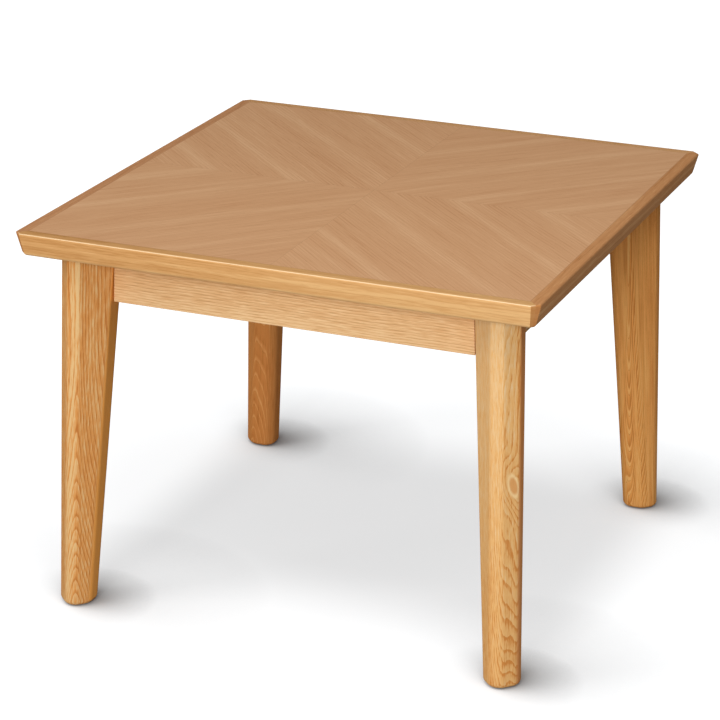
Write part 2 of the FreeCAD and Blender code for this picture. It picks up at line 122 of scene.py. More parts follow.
class Graph:
    """Short calls for building one node tree."""

    BUMP_STRENGTH = 0.5

    def __init__(self, tree: bpy.types.NodeTree) -> None:
        """Keep the tree that the calls add to."""
        self.tree = tree

    def fill(self, node: bpy.types.Node, inputs: Sequence[object] | Mapping[int | str, object]) -> None:
        """Link or set inputs of a node.

        Args:
            node: The node.
            inputs: Sockets to link or plain values to set, in order or by name or number of the input.
        """
        for key, value in inputs.items() if isinstance(inputs, Mapping) else enumerate(inputs):
            if isinstance(value, bpy.types.NodeSocket):
                self.tree.links.new(value, node.inputs[key])
            else:
                node.inputs[key].default_value = value

    def node(
        self, kind: str, inputs: Sequence[object] | Mapping[int | str, object] = (), **settings: object
    ) -> bpy.types.Node:
        """Add a node.

        Args:
            kind: Blender's name of the node type.
            inputs: Sockets or plain values for its inputs, in order or by name or number.
            settings: Properties of the node by name.

        Returns:
            The new node.
        """
        node = self.tree.nodes.new(kind)
        for name, value in settings.items():
            setattr(node, name, value)
        self.fill(node, inputs)
        return node

    def math(self, operation: str, *values: object) -> Socket:
        """Result of a sum, product or other plain calculation."""
        return self.node("ShaderNodeMath", values, operation=operation).outputs[0]

    def total(self, *terms: tuple[object, float]) -> Socket:
        """Weighted sum of values.

        Args:
            terms: Pairs of a socket or number and its weight.

        Returns:
            The sum's socket.
        """
        result: object = 0.0
        for value, weight in terms:
            result = self.math("MULTIPLY_ADD", value, weight, result)
        return result

    def length(self, *parts: Socket) -> Socket:
        """Length of a vector that is given by its parts."""
        return self.math("SQRT", self.total(*((self.math("MULTIPLY", part, part), 1.0) for part in parts)))

    def between(self, value: Socket, *steps: float) -> Socket:
        """Smooth step over a range of a value, from 0 to 1 or between the results given after the range."""
        return self.node("ShaderNodeMapRange", (value, *steps), interpolation_type="SMOOTHSTEP").outputs[0]

    def split(self, vector: Socket) -> tuple[Socket, ...]:
        """Three parts of a vector."""
        return tuple(self.node("ShaderNodeSeparateXYZ", [vector]).outputs)

    def vector(self, *parts: object) -> Socket:
        """Vector from its three parts."""
        return self.node("ShaderNodeCombineXYZ", parts).outputs[0]

    def noise(self, place: Socket, stretch: Triple, detail: float = 2.0, rough: float = 0.5) -> Socket:
        """Noise about zero on stretched coordinates.

        Args:
            place: Coordinates in metres.
            stretch: Cycles per metre along each of the three directions.
            detail: Number of finer layers.
            rough: Share of the finer layers.

        Returns:
            The noise's socket, from about -0.5 to 0.5.
        """
        scaled = self.node("ShaderNodeVectorMath", (place, stretch), operation="MULTIPLY").outputs[0]
        inputs = {"Vector": scaled, "Scale": 1.0, "Detail": detail, "Roughness": rough}
        return self.math("SUBTRACT", self.node("ShaderNodeTexNoise", inputs).outputs["Fac"], 0.5)

    def mix(self, share: object, first: object, second: object) -> Socket:
        """Mix of two colours, with the share of the second one."""
        return self.node("ShaderNodeMix", {0: share, 6: first, 7: second}, data_type="RGBA").outputs[2]

    def relief(self, height: Socket, depth: float) -> Socket:
        """Fine relief of a surface from a height of about 0 to 1."""
        inputs = {"Strength": self.BUMP_STRENGTH, "Distance": depth, "Height": height}
        return self.node("ShaderNodeBump", inputs).outputs[0]

    def own_place(self) -> Socket:
        """Coordinates in the piece's own axes."""
        return self.node("ShaderNodeTexCoord").outputs["Object"]

    def seen(self) -> Socket:
        """Test for rays from the camera and for those that gloss or glass sends on.

        Returns:
            Socket of 1 for such rays and 0 for others.
        """
        path = self.node("ShaderNodeLightPath").outputs
        shown = self.math("MAXIMUM", path["Is Camera Ray"], path["Is Glossy Ray"])
        return self.math("MAXIMUM", shown, path["Is Transmission Ray"])


def surface(name: str) -> tuple[Material, Graph, bpy.types.Node]:
    """Start a material with a plain surface shader.

    Args:
        name: Name of the material.

    Returns:
        The material, its graph and its shader node.
    """
    material = bpy.data.materials.new(name)
    material.use_nodes = True
    return material, Graph(material.node_tree), material.node_tree.nodes["Principled BSDF"]


class WoodGraph(Graph):
    """Node tree of a wood, with its grain coordinates."""

    def __init__(self, tree: bpy.types.NodeTree, source: GrainSource, shift: Triple) -> None:
        """Add the nodes of the grain coordinates.

        Args:
            tree: Tree that the calls add to.
            source: Where the coordinates come from.
            shift: Step that gives the noises a place of their own.
        """
        super().__init__(tree)
        if source is GrainSource.PIECE:
            place = self.node("ShaderNodeAttribute", attribute_name=GRAIN).outputs["Vector"]
        else:
            place = self.own_place()
        self.across, self.depth, self.along = self.split(place)
        self.noisy = self.node("ShaderNodeVectorMath", (place, shift), operation="ADD").outputs[0]


@dataclass(frozen=True)
class Knot:
    """Round branch mark that pushes the growth rings aside on one facet of a leg."""

    facing: float
    across: float
    along: float
    width: float
    height: float
    tilt: float
    rise: float
    heart: Colour
    rim: Colour
    depth: float = 0.012
    spread: float = 3.2
    rim_steps: Triple = (0.75, 1.05, 0.75)
    heart_steps: Triple = (0.45, 0.75, 0.8)

    def distance(self, graph: WoodGraph) -> tuple[Socket, Socket]:
        """Distance from the knot in its own widths, and 1 on the side of the leg that carries it.

        Args:
            graph: Graph that the nodes go into.

        Returns:
            Sockets of the distance and of the side.
        """
        sine = math.sin(math.radians(self.facing))
        cosine = math.cos(math.radians(self.facing))
        outwards = graph.total((graph.across, sine), (graph.depth, -cosine))
        level = graph.math("SUBTRACT", graph.along, self.along)
        aside = ((graph.across, cosine), (graph.depth, sine), (level, self.tilt), (1.0, -self.across))
        wide = graph.math("DIVIDE", graph.total(*aside), self.width)
        tall = graph.math("DIVIDE", level, self.height)
        return graph.length(wide, tall), graph.between(outwards, 0.0, self.depth)

    def mark(self, graph: WoodGraph, colour: Socket, eye: Socket, front: Socket) -> Socket:
        """Lay the knot's rim and heart over the wood.

        Args:
            graph: Graph that the nodes go into.
            colour: Colour of the wood.
            eye: Distance from the knot in its own widths.
            front: 1 on the side of the leg that carries the knot.

        Returns:
            The colour's socket.
        """
        for steps, tint in ((self.rim_steps, self.rim), (self.heart_steps, self.heart)):
            shown = graph.math("MULTIPLY", graph.between(eye, *steps, 0.0), front)
            colour = graph.mix(shown, colour, tint)
        return colour


@dataclass(frozen=True)
class WoodFinish:
    """Lacquered wood with growth rings, fibres and pores along its own grain coordinates."""

    name: str
    pale: Colour
    mid: Colour
    dark: Colour
    pore: Colour
    source: GrainSource = GrainSource.PIECE
    shift: Triple = NO_STEP
    pith_across: float = 0.6
    pith_depth: float = 0.2
    lean_across: float = 0.0
    lean_depth: float = 0.0
    bow: float = 0.0
    ring_spacing: float = 0.0035
    ring_line: float = 0.3
    ring_sweep: float = 0.2
    ring_wander: float = 0.003
    ring_ripple: float = 0.0004
    year_strength: float = 0.4
    fibre_strength: float = 0.6
    fleck_strength: float = 0.6
    fleck_across: float = 420.0
    fleck_along: float = 42.0
    cloud_strength: float = 0.6
    # Tone that changes steadily along the piece; on the front lipping this is painted shade, darker towards
    # its left end.
    fade: float = 0.0
    fade_middle: float = 0.21
    pore_strength: float = 0.35
    # Bands along the grain, each a centre, width and strength: some are grain, and some are painted light
    # and painted shade.
    streaks: tuple[Triple, ...] = ()
    streak_wander: float = 0.0
    # Painted highlight along the upper arris: its width and its colour.
    painted_highlight_width: float = 0.0
    painted_highlight_colour: Colour = WHITE
    seam_half: float = 0.0
    # Colour by facing along one axis: end grain on the lippings' clipped corners, and painted light and
    # shade on the side flats of legs.
    end_and_side_axis: int = -1
    end_and_side_from: float = 0.3
    end_and_side_full: float = 0.62
    end_and_side_share: float = 0.75
    end_grain_and_side_shading: Colour = WHITE
    knot: Knot | None = None
    roughness: float = 0.7
    pore_roughness: float = 0.2
    gloss: float = 0.008
    relief: float = 0.00004

    WANDER = (26.0, 26.0, 7.0)
    RIPPLE = (140.0, 140.0, 45.0)
    FIBRE = (900.0, 900.0, 14.0)
    DASH = (2600.0, 2600.0, 90.0)
    CLOUD = (30.0, 30.0, 3.0)
    DRIFT = (0.0, 0.0, 9.0)
    FINE = 0.6
    LINE_STARTS = (0.62, 0.86)
    LINE_ENDS = (0.92, 1.0)
    LINE_SHARE = 0.22
    YEAR_CYCLES = 0.37
    DASH_STEPS = (0.06, 0.2)
    EARLY_STEPS = (0.7, 1.0, 0.3, 1.0)
    PAINTED_HIGHLIGHT_SHARE = 0.9
    RIM_SEAM = (0.0001, 0.0007, 0.55, 0.0)
    MIDDLE_SEAM = (0.00005, 0.0004, 0.25, 0.0)

    def build(self) -> Material:
        """Make the material from the finish's values.

        Returns:
            The new material.
        """
        material, _, shader = surface(self.name)
        graph = WoodGraph(material.node_tree, self.source, self.shift)
        colour, height, pores = self.figure(graph)
        # End grain on clipped lipping corners, and painted light and shade on leg side flats, by the
        # surface's facing.
        if self.end_and_side_axis >= 0:
            normal = graph.split(graph.node("ShaderNodeNewGeometry").outputs["Normal"])[self.end_and_side_axis]
            slant = graph.math("ABSOLUTE", normal)
            ends = graph.between(slant, self.end_and_side_from, self.end_and_side_full, 0.0, self.end_and_side_share)
            colour = graph.mix(ends, colour, self.end_grain_and_side_shading)
        graph.fill(shader, {
            "Base Color": colour,
            "Roughness": graph.math("MULTIPLY_ADD", pores, self.pore_roughness, self.roughness),
            "Specular IOR Level": self.gloss,
            "Normal": graph.relief(height, self.relief),
        })
        return material

    def radius(self, graph: WoodGraph) -> Socket:
        """Distance from the pith, with the wander of the growth rings.

        Args:
            graph: Graph that the nodes go into.

        Returns:
            The distance's socket.
        """
        side = graph.total((graph.across, 1.0), (graph.along, -self.lean_across), (1.0, -self.pith_across))
        back = graph.total((graph.depth, 1.0), (graph.along, -self.lean_depth), (1.0, -self.pith_depth))
        return graph.total(
            (graph.length(side, back), 1.0),
            (graph.noise(graph.noisy, self.WANDER), self.ring_wander),
            (graph.noise(graph.noisy, self.RIPPLE), self.ring_ripple),
            (graph.math("MULTIPLY", graph.along, graph.along), self.bow),
        )

    def tone(self, graph: WoodGraph, turns: Socket, fibre: Socket) -> Socket:
        """Darkness of the wood from its rings, fibres, flecks, clouds and bands, where some bands are
        painted light and some painted shade.

        Args:
            graph: Graph that the nodes go into.
            turns: Distance from the pith in rings.
            fibre: Noise of the fibres.

        Returns:
            The darkness's socket, from about 0 for pale to 1 for dark.
        """
        phase = graph.math("FRACT", turns)
        starts = graph.between(phase, *self.LINE_STARTS)
        cycles = graph.vector(graph.math("MULTIPLY", turns, self.YEAR_CYCLES), 0.0, 0.0)
        flecks = (self.fleck_across, self.fleck_across, self.fleck_along)
        level = 0.5 - self.LINE_SHARE * self.ring_line - 0.5 * self.ring_sweep - self.fade * self.fade_middle
        terms = [
            (1.0, level),
            (graph.math("SUBTRACT", starts, graph.between(phase, *self.LINE_ENDS)), self.ring_line),
            (phase, self.ring_sweep),
            (graph.noise(cycles, (1.0, 1.0, 1.0), 1.0), self.year_strength),
            (fibre, self.fibre_strength),
            (graph.noise(graph.noisy, flecks, rough=self.FINE), self.fleck_strength),
            (graph.noise(graph.noisy, self.CLOUD), self.cloud_strength),
            (graph.along, self.fade),
        ]
        # Bands of grain, and bands of painted light and shade.
        for centre, width, strength in self.streaks:
            drift = graph.noise(graph.noisy, self.DRIFT)
            offset = graph.total((graph.across, 1.0), (drift, self.streak_wander), (1.0, -centre))
            terms.append((graph.between(graph.math("ABSOLUTE", offset), 0.0, width, 1.0, 0.0), -strength))
        return graph.total(*terms)

    def figure(self, graph: WoodGraph) -> tuple[Socket, Socket, Socket]:
        """Colour, relief and pores of the wood.

        Args:
            graph: Graph that the nodes go into.

        Returns:
            Sockets of the colour, the relief's height and the pores.
        """
        radius = self.radius(graph)
        if self.knot is not None:
            eye, front = self.knot.distance(graph)
            bulge = graph.math("MULTIPLY", graph.between(eye, 0.0, self.knot.spread, 1.0, 0.0), front)
            radius = graph.total((radius, 1.0), (bulge, self.knot.rise))
        turns = graph.math("DIVIDE", radius, self.ring_spacing)
        fibre = graph.noise(graph.noisy, self.FIBRE, 3.0, self.FINE)
        tone = self.tone(graph, turns, fibre)
        colour = graph.mix(graph.between(tone, 0.0, 0.5), self.pale, self.mid)
        colour = graph.mix(graph.between(tone, 0.5, 1.0), colour, self.dark)
        if self.knot is not None:
            colour = self.knot.mark(graph, colour, eye, front)
        dashes = graph.between(graph.noise(graph.noisy, self.DASH, rough=self.FINE), *self.DASH_STEPS)
        early = graph.between(graph.math("FRACT", turns), *self.EARLY_STEPS)
        pores = graph.math("MULTIPLY", dashes, early)
        colour = graph.mix(graph.math("MULTIPLY", pores, self.pore_strength), colour, self.pore)
        # Painted highlight: a pale line along the upper arris that stands in for the light's reflection.
        if self.painted_highlight_width > 0.0:
            half = self.painted_highlight_width / 2
            edge = graph.math("ABSOLUTE", graph.math("ADD", graph.across, half))
            colour = graph.mix(graph.between(edge, 0.0, half, self.PAINTED_HIGHLIGHT_SHARE, 0.0), colour, self.painted_highlight_colour)
        if self.seam_half > 0.0:
            colour = graph.mix(self.seams(graph), colour, self.pore)
        return colour, graph.math("SUBTRACT", graph.math("MULTIPLY", fibre, self.FINE), pores), pores

    def seams(self, graph: WoodGraph) -> Socket:
        """Share of the glue lines round a quarter of the veneer.

        Args:
            graph: Graph that the nodes go into.

        Returns:
            The share's socket.
        """
        first = graph.total((graph.along, HALF_DIAGONAL), (graph.across, HALF_DIAGONAL))
        second = graph.total((graph.along, HALF_DIAGONAL), (graph.across, -HALF_DIAGONAL))
        outer = graph.math("SUBTRACT", self.seam_half, graph.math("MAXIMUM", first, second))
        inner = graph.between(graph.math("MINIMUM", first, second), *self.MIDDLE_SEAM)
        return graph.math("MAXIMUM", graph.between(outer, *self.RIM_SEAM), inner)


@dataclass(frozen=True)
class MetalFinish:
    """Plated or turned metal with a fine stain and tool marks."""

    name: str
    colour: Colour
    stain: Colour
    roughness: float
    cloud_roughness: float = 0.25
    mark_roughness: float = 0.2
    relief: float = 0.00001

    CLOUD = (210.0, 210.0, 210.0)
    MARKS = (4200.0, 4200.0, 900.0)
    STAIN_STEPS = (-0.1, 0.3)

    def build(self) -> Material:
        """Make the material from the finish's values.

        Returns:
            The new material.
        """
        material, graph, shader = surface(self.name)
        cloud = graph.noise(graph.own_place(), self.CLOUD, 3.0, 0.6)
        marks = graph.noise(graph.own_place(), self.MARKS)
        wear = ((1.0, self.roughness), (cloud, self.cloud_roughness), (marks, self.mark_roughness))
        graph.fill(shader, {
            "Base Color": graph.mix(graph.between(cloud, *self.STAIN_STEPS), self.colour, self.stain),
            "Roughness": graph.total(*wear),
            "Metallic": 1.0,
            "Normal": graph.relief(marks, self.relief),
        })
        return material


@dataclass(frozen=True)
class BoardFinish:
    """Pressed board or moulded plastic with a fine speckle."""

    name: str
    colour: Colour
    speckle: Colour
    speckles_per_metre: float
    roughness: float
    relief: float
    grit_roughness: float = 0.3
    cloud_share: float = 0.35

    CLOUD = (24.0, 24.0, 24.0)
    SPECKLE_STEPS = (-0.12, 0.25)

    def build(self) -> Material:
        """Make the material from the finish's values.

        Returns:
            The new material.
        """
        material, graph, shader = surface(self.name)
        grit = graph.noise(graph.own_place(), (self.speckles_per_metre,) * 3, 4.0, 0.65)
        cloud = graph.noise(graph.own_place(), self.CLOUD)
        share = graph.between(graph.total((grit, 1.0), (cloud, self.cloud_share)), *self.SPECKLE_STEPS)
        graph.fill(shader, {
            "Base Color": graph.mix(share, self.colour, self.speckle),
            "Roughness": graph.math("MULTIPLY_ADD", grit, self.grit_roughness, self.roughness),
            "Normal": graph.relief(grit, self.relief),
        })
        return material


def show(name: str, data: bpy.types.ID) -> Object:
    """Put a mesh, light or camera into the scene.

    Args:
        name: Name of the object.
        data: What the object shows.

    Returns:
        The new object.
    """
    item = bpy.data.objects.new(name, data)
    bpy.context.collection.objects.link(item)
    return item


def make_piece(
    name: str,
    points: Sequence[Vector],
    faces: Sequence[Sequence[int]],
    grain: Sequence[Vector] = (),
    smooth: float = 35.0,
) -> Object:
    """Closed mesh piece, with grain coordinates at its points where the finish needs them.

    Args:
        name: Name of the piece.
        points: Points in metres.
        faces: Corners of each face.
        grain: Grain coordinates of each point.
        smooth: Largest angle in degrees between faces that are shaded as one.

    Returns:
        The new object.
    """
    mesh = bpy.data.meshes.new(name)
    mesh.from_pydata([tuple(point) for point in points], [], faces)
    if grain:
        layer = mesh.attributes.new(GRAIN, "FLOAT_VECTOR", "POINT")
        layer.data.foreach_set("vector", [value for entry in grain for value in entry])
    shell = bmesh.new()
    shell.from_mesh(mesh)
    bmesh.ops.recalc_face_normals(shell, faces=shell.faces)
    shell.to_mesh(mesh)
    shell.free()
    mesh.shade_smooth()
    mesh.set_sharp_from_angle(angle=math.radians(smooth))
    return show(name, mesh)


def ring_faces(rings: int, count: int, capped: bool = True) -> list[list[int]]:
    """Faces between closed rings of points.

    Args:
        rings: Number of rings.
        count: Points in each ring.
        capped: Whether the two ends are closed; otherwise the last ring joins the first.

    Returns:
        Corners of each face.
    """
    faces = []
    for ring in range(rings - 1 if capped else rings):
        low = ring * count
        high = (ring + 1) % rings * count
        for place in range(count):
            after = (place + 1) % count
            faces.append([low + place, low + after, high + after, high + place])
    if capped:
        faces.append(list(range(count - 1, -1, -1)))
        faces.append(list(range((rings - 1) * count, rings * count)))
    return faces


def dress(piece: Object, material: Material, slot: str, *nodes: str) -> None:
    """Give a piece its finish and put it in place of its solids.

    Args:
        piece: The new piece.
        material: Its finish.
        slot: Material slot of the record; not used.
        nodes: Nodes that the piece stands for.
    """
    piece.data.materials.clear()
    piece.data.materials.append(material)
    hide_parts(*nodes)
    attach(piece, ROOT_BODY)
    LOG.info("%s stands for %s", piece.name, ", ".join(nodes))


def paint(material: Material, *nodes: str) -> None:
    """Give solids that stay in view a finish.

    Args:
        material: The finish.
        nodes: Nodes that take it.
    """
    for node in nodes:
        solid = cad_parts[node]
        solid.data.materials.clear()
        solid.data.materials.append(material)
        LOG.info("%s takes %s", node, material.name)


@dataclass
class WoodPiece:
    """Piece of wood that is drawn at the first place and turned to its own."""

    spot: Spot
    finish: WoodFinish

    STEM = ""
    TAIL = "wood"
    SLOT = ""
    SMOOTH = 35.0

    def wood(self) -> WoodFinish:
        """Finish of this piece."""
        return self.finish

    def rings(self) -> list[Sequence[Vector]]:
        """Rings of points at the first place."""
        raise NotImplementedError

    def grain(self, point: Vector) -> Vector:
        """Grain coordinates of a point at the first place."""
        raise NotImplementedError

    def build(self) -> None:
        """Make the piece's mesh at its own place and dress it."""
        rings = self.rings()
        points = [point for ring in rings for point in ring]
        turned = [self.spot.turn @ point for point in points]
        grain = [self.grain(point) for point in points]
        faces = ring_faces(len(rings), len(rings[0]))
        name = f"{self.STEM}_{self.spot.label}"
        piece = make_piece(f"{name}_{self.TAIL}", turned, faces, grain, self.SMOOTH)
        dress(piece, self.wood().build(), self.SLOT, name)


@dataclass(frozen=True)
class LegSection:
    """Square with cut corners at one end of a leg, in metres."""

    height: float
    centre: float
    half: float
    outer_cut: float
    side_cut: float
    inner_cut: float

    def mixed(self, other: LegSection, share: float) -> LegSection:
        """Section part of the way to another one."""
        pairs = zip(vars(self).values(), vars(other).values())
        return LegSection(*(first + share * (second - first) for first, second in pairs))

    def drawn_in(self, inset: float) -> LegSection:
        """Section with every side moved in by the same distance."""
        cuts = (cut - inset * CUT_LOSS for cut in (self.outer_cut, self.side_cut, self.inner_cut))
        return LegSection(self.height, self.centre, self.half - inset, *cuts)

    def corners(self) -> list[Vector]:
        """Eight corners of the section at the front right.

        Returns:
            The corners, counter-clockwise from the front flat.
        """
        near = self.centre - self.half
        far = self.centre + self.half
        places = (
            (near + self.side_cut, -far),
            (far - self.outer_cut, -far),
            (far, self.outer_cut - far),
            (far, -near - self.side_cut),
            (far - self.side_cut, -near),
            (near + self.inner_cut, -near),
            (near, -near - self.inner_cut),
            (near, self.side_cut - far),
        )
        return [Vector((across, along, self.height)) for across, along in places]


@dataclass
class Leg(WoodPiece):
    """Splayed, tapered, eight-sided leg with eased edges and a rounded foot."""

    top: LegSection = LegSection(0.423, 0.2378, 0.0286, 0.0142, 0.0284, 0.006)
    foot: LegSection = LegSection(0.001, 0.2585, 0.020, 0.015, 0.0125, 0.008)
    top_ease: float = 0.0018
    foot_ease: float = 0.0056
    ease_limit: float = 0.46
    ease_margin: float = 0.03
    foot_arris: float = 0.0052
    flat_distance: float = 0.308
    flat_height: float = 0.054
    recess_radius: float = 0.0121
    recess_depth: float = 0.002
    ease_steps: int = 4
    arris_steps: int = 6
    levels: int = 30
    flat_levels: int = 6

    STEM = "leg"
    SLOT = "leg_wood"

    def section(self, height: float) -> LegSection:
        """Section of the leg at a height above the floor."""
        return self.foot.mixed(self.top, (height - self.foot.height) / (self.top.height - self.foot.height))

    def outline(self, height: float, inset: float = 0.0) -> list[Vector]:
        """Outline of the leg at the front right corner with its edges eased.

        Args:
            height: Height above the floor.
            inset: Distance that the outline is drawn in.

        Returns:
            Points of the outline, counter-clockwise from the front.
        """
        corners = self.section(height).drawn_in(inset).corners()
        ease = self.foot_ease + (self.top_ease - self.foot_ease) * height / self.top.height
        points = []
        for index, corner in enumerate(corners):
            before = corners[index - 1] - corner
            after = corners[(index + 1) % len(corners)] - corner
            reach = min(ease, self.ease_limit * before.length, self.ease_limit * after.length)
            start = corner + before.normalized() * reach
            end = corner + after.normalized() * reach
            points.append(start + before * self.ease_margin)
            for step in range(self.ease_steps + 1):
                share = step / self.ease_steps
                points.append(start.lerp(corner, share).lerp(corner.lerp(end, share), share))
            points.append(end + after * self.ease_margin)
        return points

    def flattened(self, points: Sequence[Vector]) -> list[Vector]:
        """Outline with its inner corner cut back to the flat for the bolts."""
        return [point + TO_CORNER * max(0.0, self.flat_distance - point.dot(TO_CORNER)) for point in points]

    def rings(self) -> list[Sequence[Vector]]:
        """Outlines of the leg.

        Returns:
            The outlines from the recess under the foot up to the board.
        """
        ground = self.foot.height
        sole = self.outline(ground, self.foot_arris)
        middle = Vector((self.foot.centre, -self.foot.centre, ground))
        rim = [middle + (point - middle).normalized() * self.recess_radius for point in sole]
        rings = [[point + UP * self.recess_depth for point in rim], rim, sole]
        for step in range(1, self.arris_steps + 1):
            angle = QUARTER * step / self.arris_steps
            height = ground + self.foot_arris * (1 - math.cos(angle))
            rings.append(self.outline(height, self.foot_arris * (1 - math.sin(angle))))
        start = ground + self.foot_arris
        shelf = self.top.height - self.flat_height
        for level in range(1, self.levels + 1):
            rings.append(self.outline(start + (shelf - start) * level / self.levels))
        for level in range(self.flat_levels + 1):
            rings.append(self.flattened(self.outline(shelf + self.flat_height * level / self.flat_levels)))
        return rings

    def grain(self, point: Vector) -> Vector:
        """Offsets from the leg's centre line in the table's axes, and height."""
        centre = self.section(point.z).centre
        return self.spot.turn @ (point - Vector((centre, -centre, 0.0)))


@dataclass
class Lipping(WoodPiece):
    """Solid edge strip of the board, mitred and clipped at its ends and undercut."""

    table_height: float = 0.45
    board_thickness: float = 0.027
    top_side: float = 0.6
    undercut: float = 0.007
    corner_clip: float = 0.0085
    upper_arris: float = 0.002
    lower_arris: float = 0.0055
    core_half: float = 0.287
    arris_steps: int = 6
    length_steps: int = 40
    grain_step: float = 1.7

    STEM = "top_lipping"
    SLOT = "lipping_wood"
    SMOOTH = 30.0

    @property
    def lean(self) -> float:
        """Angle of the edge face from upright."""
        return math.atan2(self.undercut, self.board_thickness)

    @property
    def upper_tangent(self) -> float:
        """Distance from the sharp upper outline to where its rounding ends."""
        return self.upper_arris / math.tan((QUARTER - self.lean) / 2)

    def wood(self) -> WoodFinish:
        """Finish of this strip, with end grain on its clipped corners."""
        return replace(self.finish, end_and_side_axis=self.spot.value % 2)

    def profile(self) -> list[tuple[float, float]]:
        """Rounded outer section of the strip.

        Returns:
            Pairs of inset from the sharp upper outline and height, from the top to the underside.
        """
        upper_height = self.table_height - self.upper_arris
        lower_height = self.table_height - self.board_thickness + self.lower_arris
        lower_inset = self.undercut + self.lower_arris / math.tan((QUARTER + self.lean) / 2)
        arrises = (
            (self.upper_tangent, upper_height, self.upper_arris, QUARTER, QUARTER + self.lean),
            (lower_inset, lower_height, self.lower_arris, -self.lean, QUARTER - self.lean),
        )
        points = []
        for inset, height, radius, start, sweep in arrises:
            for step in range(self.arris_steps + 1):
                angle = start - sweep * step / self.arris_steps
                points.append((inset - radius * math.cos(angle), height + radius * math.sin(angle)))
        return points

    def row(self, half: float, straight: float, mitre: float, height: float) -> list[Vector]:
        """Points along the front strip at one height.

        Args:
            half: Half of the square that the row lies on.
            straight: Half of the row's straight length.
            mitre: Half of the square that its ends lie on.
            height: Height above the floor.

        Returns:
            Points from the left mitre to the right one.
        """
        steps = [2 * step / self.length_steps - 1 for step in range(self.length_steps + 1)]
        points = [Vector((straight * step, -half, height)) for step in steps]
        return [Vector((-mitre, -mitre, height)), *points, Vector((mitre, -mitre, height))]

    def rings(self) -> list[Sequence[Vector]]:
        """Sections of the strip.

        Returns:
            The sections from the left mitre to the right one.
        """
        sharp_half = self.top_side / 2 + self.upper_tangent - self.upper_arris
        inner = (self.core_half, self.core_half - self.corner_clip / 2, self.core_half)
        rows = [self.row(*inner, self.table_height)]
        for inset, height in self.profile():
            half = sharp_half - inset
            clip = self.corner_clip - inset * CUT_LOSS
            rows.append(self.row(half, half - clip, half - clip / 2, height))
        rows.append(self.row(*inner, self.table_height - self.board_thickness))
        return list(zip(*rows))

    def grain(self, point: Vector) -> Vector:
        """Height and depth from the upper edge, and place along the strip."""
        along = point.x + self.grain_step * self.spot.value
        return Vector((point.z - self.table_height, point.y + self.top_side / 2, along))


@dataclass
class VeneerSheet(WoodPiece):
    """One quarter of the face veneer, with its grain running from the middle to the corner."""

    table_height: float = 0.45
    half: float = 0.287
    thickness: float = 0.0006
    grain_step: float = 0.013

    STEM = "top_veneer"
    TAIL = "sheet"
    SLOT = "top_veneer"

    def wood(self) -> WoodFinish:
        """Finish of this quarter, with noises of its own."""
        return replace(self.finish, shift=(0.0, self.grain_step * self.spot.value, 0.0))

    def rings(self) -> list[Sequence[Vector]]:
        """Lower and upper outline of the sheet.

        Returns:
            The two outlines.
        """
        square = ((0.0, 0.0), (self.half, 0.0), (self.half, -self.half), (0.0, -self.half))
        levels = (self.table_height - self.thickness, self.table_height)
        return [[Vector((*corner, level)) for corner in square] for level in levels]

    def grain(self, point: Vector) -> Vector:
        """Coordinates across the diagonal, into the sheet and along the diagonal."""
        right, back, _ = (abs(part) * HALF_DIAGONAL for part in self.spot.turn @ point)
        return Vector((right - back, point.z - self.table_height, right + back))


@dataclass
class Apron(WoodPiece):
    """Straight rail between two legs, with eased arrises and ends that follow the legs' splay."""

    top_height: float = 0.423
    face: float = 0.238
    half_length: float = 0.2091
    height: float = 0.06
    thickness: float = 0.02
    arris: float = 0.001
    end_arris: float = 0.0004
    end_splay: float = 0.038
    arris_steps: int = 3
    grain_step: float = 2.3

    STEM = "apron"
    SLOT = "apron_wood"
    SMOOTH = 50.0

    def section(self) -> list[tuple[Vector, Vector]]:
        """Rounded section of the rail.

        Returns:
            Pairs of a point, as depth from the table's middle and height, and the corner's way outwards.
        """
        middle = Vector((self.face - self.thickness / 2, self.top_height - self.height / 2))
        reach = Vector((self.thickness / 2 - self.arris, self.height / 2 - self.arris))
        points = []
        for index, ways in enumerate(((1.0, -1.0), (-1.0, -1.0), (-1.0, 1.0), (1.0, 1.0))):
            outwards = Vector(ways)
            for step in range(self.arris_steps + 1):
                angle = -QUARTER * (index + step / self.arris_steps)
                bend = Vector((math.cos(angle), math.sin(angle))) * self.arris
                points.append((middle + reach * outwards + bend, outwards))
        return points

    def rings(self) -> list[Sequence[Vector]]:
        """Sections of the rail.

        Returns:
            The sections from the left end to the right one.
        """
        straight = self.half_length - self.end_arris
        places = (-self.half_length, -straight, straight, self.half_length)
        rings = []
        for across, inset in zip(places, (self.end_arris, 0.0, 0.0, self.end_arris)):
            ring = []
            for point, outwards in self.section():
                splay = math.copysign(self.end_splay * (self.top_height - point.y), across)
                depth, height = point - outwards * inset
                ring.append(Vector((across + splay, -depth, height)))
            rings.append(ring)
        return rings

    def grain(self, point: Vector) -> Vector:
        """Height and depth from the upper edge, and place along the rail."""
        along = point.x + self.grain_step * self.spot.value
        return Vector((point.z - self.top_height, point.y + self.face, along))


@dataclass(frozen=True)
class Lay:
    """Rows and columns in which one fastener is repeated at the front right corner, in metres."""

    start: Triple
    row_count: int = 1
    row_step: Triple = NO_STEP
    column_count: int = 1
    column_step: Triple = NO_STEP


